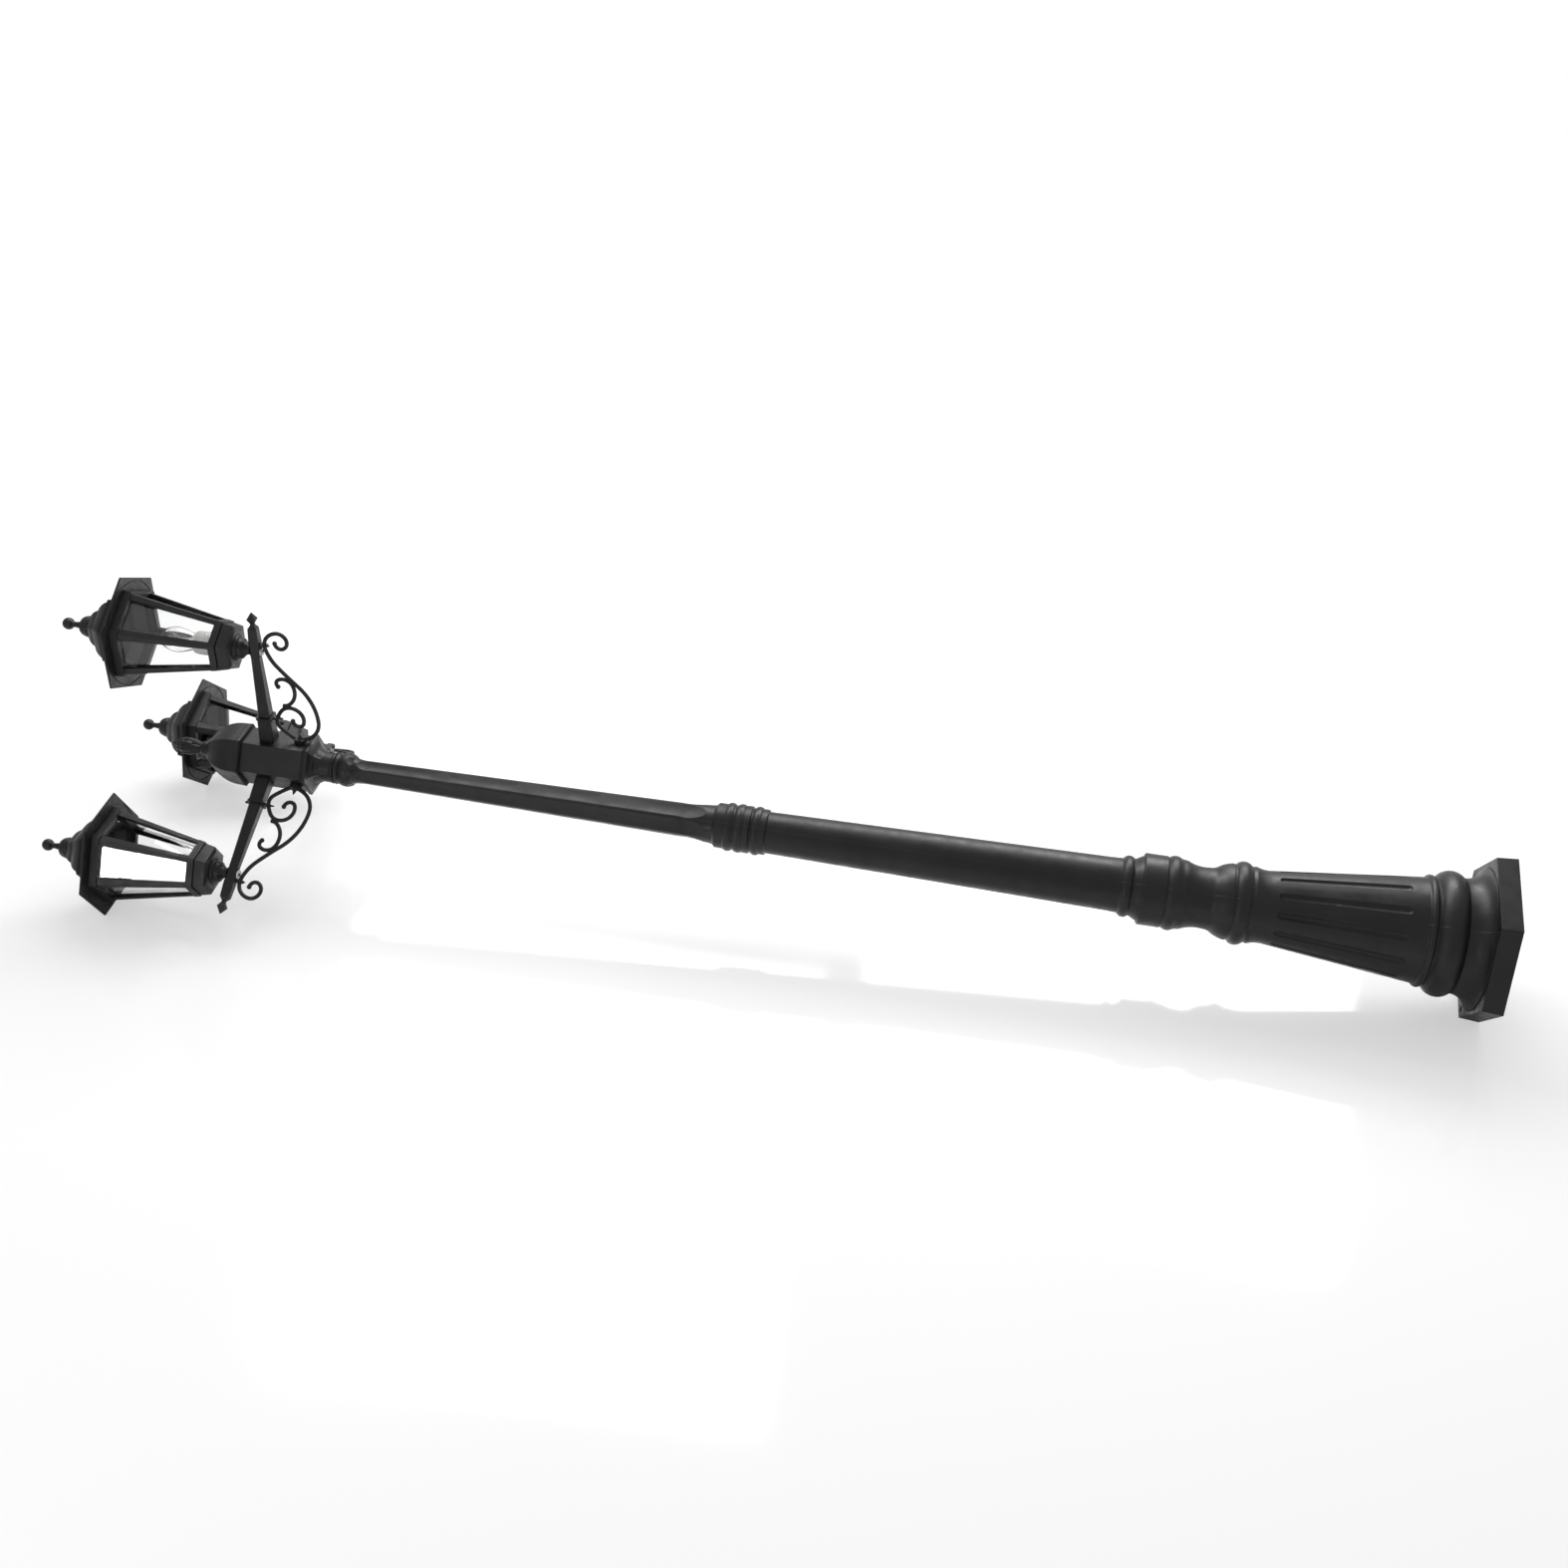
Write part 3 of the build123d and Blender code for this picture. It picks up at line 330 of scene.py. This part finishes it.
def leaf_relief(turn, height):
    """How far a spot on the bud stands out, 0 to 1, from three rows of overlapping leaves."""
    best = 0.0
    for low, length, shift in LEAF_ROWS:
        climb = (height - low) / length
        if 0 <= climb <= 1:
            off = abs((turn / LEAF_TURN + shift) % 1 - 0.5) * 2
            width = max(1.05 - climb ** 2.2, 0.02)
            body = max(0.0, 1 - (off / width) ** 2.5)
            rib = 0.22 * max(0.0, 1 - off * 7)
            best = max(best, body * (0.62 + 0.25 * climb) + rib * body)
    return min(best, 1.0)


def bud():
    """The bud on the hub's cap, with overlapping leaves."""
    points = []
    for row in range(BUD_ROWS):
        height = BUD_H * row / (BUD_ROWS - 1)
        for k in range(BUD_AROUND):
            turn = 360 * k / BUD_AROUND
            radius = between(BUD_OUTLINE, height)
            if height > LEAVES_FROM:
                radius *= (1 - LEAF_DEPTH) + LEAF_DEPTH * leaf_relief(turn, height)
            angle = math.radians(turn)
            points.append((radius * math.cos(angle) / MM_PER_M, radius * math.sin(angle) / MM_PER_M,
                           BUD_LOW_Z + height / MM_PER_M))
    obj = piece("hub_bud_leaves", points, ring_faces(BUD_ROWS, BUD_AROUND), "dark_paint", "post")
    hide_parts("hub_bud")


def place(side, x, y, z):
    """A spot beside a lantern's axis, turned with its arm."""
    angle = math.radians(SIDES[side])
    return ((STEM_RADIUS + x) * math.cos(angle) - y * math.sin(angle),
            (STEM_RADIUS + x) * math.sin(angle) + y * math.cos(angle), z)


def lathe(side, outline, around):
    """Round piece on a lantern's axis, from radii and heights."""
    points = []
    for radius, z in outline:
        for k in range(around):
            angle = 2 * math.pi * k / around
            points.append(place(side, radius * math.cos(angle), radius * math.sin(angle), z))
    return points, ring_faces(len(outline), around)


def wire(side, path, radius, around=8):
    """Round wire through spots beside a lantern's axis."""
    points = []
    line = [Vector(p) for p in path]
    for index, here in enumerate(line):
        ahead = (line[min(index + 1, len(line) - 1)] - line[max(index - 1, 0)]).normalized()
        across = ahead.cross(Vector((0.31, 0.95, 0.05))).normalized()
        other = ahead.cross(across)
        for k in range(around):
            angle = 2 * math.pi * k / around
            spot = here + (across * math.cos(angle) + other * math.sin(angle)) * radius
            points.append(place(side, *spot))
    return points, ring_faces(len(line), around)


def filament(foot):
    """Path of the coiled filament, bowed between the ends of its lead wires."""
    path = []
    for step in range(COIL_STEPS + 1):
        share = step / COIL_STEPS
        bend = math.pi * share
        turn = 2 * math.pi * COIL_TURNS * share
        path.append((-COIL_HALF_SPAN * math.cos(bend),
                     COIL_R * math.cos(turn) + COIL_BOW * math.sin(bend),
                     foot + COIL_RISE + COIL_R * math.sin(turn) + COIL_WAVE * math.sin(bend * 3)))
    return path


def lamp_inside(side):
    """Glass mount, lead wires and filament inside one lamp."""
    foot = HOLDER_TOP_Z + MOUNT_FOOT
    mount = [(radius, foot + rise) for radius, rise in MOUNT_OUTLINE]
    points, faces = lathe(side, mount, MOUNT_AROUND)
    piece(side + "_lamp_mount", points, faces, "lamp_glass", side + "_lamp")
    points, faces = [], []
    for sign in (-1, 1):
        lead = [(sign * out, 0, foot + rise) for out, rise in LEAD_PATH]
        add_mesh(points, faces, *wire(side, lead, LEAD_R))
    add_mesh(points, faces, *wire(side, filament(foot), COIL_WIRE_R, 6))
    piece(side + "_lamp_wires", points, faces, "steel", side + "_lamp")


def holder_grip(side):
    """Ribbed grip ring round one lampholder's upper part."""
    points = []
    for drop, out in GRIP_OUTLINE:
        for k in range(GRIP_AROUND):
            rib = 0.0
            if out > 0:
                rib = GRIP_RIB_H * max(0.0, math.cos(2 * math.pi * k * GRIP_RIBS / GRIP_AROUND))
            radius = HOLDER_R - GRIP_INSET + out + rib
            angle = 2 * math.pi * k / GRIP_AROUND
            points.append(place(side, radius * math.cos(angle), radius * math.sin(angle),
                                HOLDER_TOP_Z + drop))
    faces = ring_faces(len(GRIP_OUTLINE), GRIP_AROUND, False)
    piece(side + "_holder_grip", points, faces, "white_plastic", side + "_lantern")


# ---------------------------------------------------------------- studio
def floor_material():
    """Glossy white acrylic. To the camera, and through glass, half of it is plain white. It fades
    out away from the post, and isn't there from below."""
    mat, tree, shader = new_material("studio_floor")
    sheen = object_noise(tree, 1.2, 2.0)
    rough = ramp(tree, sheen.outputs["Fac"], grey(0.05), grey(0.11))
    tree.links.new(rough.outputs["Color"], shader.inputs["Roughness"])
    shader.inputs["Base Color"].default_value = (0.95, 0.95, 0.955, 1)
    shader.inputs["Specular IOR Level"].default_value = 0.7
    white = add_node(tree, "ShaderNodeEmission", {"Color": (1, 1, 1, 1), "Strength": 1.0})
    light = add_node(tree, "ShaderNodeLightPath")
    either = add_node(tree, "ShaderNodeMath", operation="MAXIMUM")
    share = add_node(tree, "ShaderNodeMath", {1: FLOOR_WHITE_SHARE}, operation="MULTIPLY")
    seen = add_node(tree, "ShaderNodeMixShader")
    where = add_node(tree, "ShaderNodeNewGeometry")
    middle = add_node(tree, "ShaderNodeVectorMath", {1: (0.0, 0.0, POST_MIDDLE)}, operation="SUBTRACT")
    far = add_node(tree, "ShaderNodeVectorMath", operation="LENGTH")
    fade = add_node(tree, "ShaderNodeMapRange", {"From Min": FLOOR_FADE[0], "From Max": FLOOR_FADE[1]},
                    interpolation_type="SMOOTHSTEP")
    gone = add_node(tree, "ShaderNodeMath", operation="MAXIMUM")
    clear = add_node(tree, "ShaderNodeBsdfTransparent")
    front = add_node(tree, "ShaderNodeMixShader")
    out = tree.nodes["Material Output"]
    tree.links.new(light.outputs["Is Camera Ray"], either.inputs[0])
    tree.links.new(light.outputs["Is Transmission Ray"], either.inputs[1])
    tree.links.new(either.outputs[0], share.inputs[0])
    tree.links.new(share.outputs[0], seen.inputs["Fac"])
    tree.links.new(shader.outputs[0], seen.inputs[1])
    tree.links.new(white.outputs[0], seen.inputs[2])
    tree.links.new(where.outputs["Position"], middle.inputs[0])
    tree.links.new(middle.outputs[0], far.inputs[0])
    tree.links.new(far.outputs["Value"], fade.inputs["Value"])
    tree.links.new(where.outputs["Backfacing"], gone.inputs[0])
    tree.links.new(fade.outputs["Result"], gone.inputs[1])
    tree.links.new(gone.outputs[0], front.inputs["Fac"])
    tree.links.new(seen.outputs[0], front.inputs[1])
    tree.links.new(clear.outputs[0], front.inputs[2])
    tree.links.new(front.outputs[0], out.inputs["Surface"])
    return mat


def make_floor():
    data = bpy.data.meshes.new("studio_floor")
    along = Vector((0, 0, 1)) - FLOOR_UP * FLOOR_UP.z
    along.normalize()
    across = FLOOR_UP.cross(along)
    mid = FLOOR_POINT + along * POST_MIDDLE
    corners = [mid + across * a * FLOOR_HALF + along * b * FLOOR_HALF
               for a, b in ((-1, -1), (1, -1), (1, 1), (-1, 1))]
    data.from_pydata([tuple(c) for c in corners], [], [(0, 1, 2, 3)])
    floor = bpy.data.objects.new("studio_floor", data)
    bpy.context.scene.collection.objects.link(floor)
    if data.polygons[0].normal.dot(FLOOR_UP) < 0:
        data.flip_normals()
    data.materials.append(floor_material())


def make_world():
    """White to the camera and through glass, and WORLD_LIGHT for everything else."""
    world = bpy.data.worlds.new("studio")
    bpy.context.scene.world = world
    world.use_nodes = True
    tree = world.node_tree
    back = tree.nodes["Background"]
    back.inputs["Color"].default_value = (1, 1, 1, 1)
    light = add_node(tree, "ShaderNodeLightPath")
    seen = add_node(tree, "ShaderNodeMath", operation="MAXIMUM")
    tree.links.new(light.outputs["Is Camera Ray"], seen.inputs[0])
    tree.links.new(light.outputs["Is Transmission Ray"], seen.inputs[1])
    level = add_node(tree, "ShaderNodeMapRange", {"To Min": WORLD_LIGHT, "To Max": 1.0})
    tree.links.new(seen.outputs[0], level.inputs["Value"])
    tree.links.new(level.outputs["Result"], back.inputs["Strength"])


def area_light(name, place_at, target, size, power):
    data = bpy.data.lights.new(name, "AREA")
    data.shape = "RECTANGLE"
    data.size, data.size_y = size
    data.energy = power
    lamp = bpy.data.objects.new(name, data)
    lamp.location = place_at
    lamp.rotation_euler = (Vector(target) - Vector(place_at)).to_track_quat("-Z", "Y").to_euler()
    bpy.context.scene.collection.objects.link(lamp)


make_camera()
dress_cad()
bud()
for lamp_side in SIDES:
    lamp_inside(lamp_side)
    holder_grip(lamp_side)
make_world()
make_floor()
for softbox in LIGHTS:
    area_light(*softbox)
bpy.context.scene.view_settings.view_transform = "Standard"
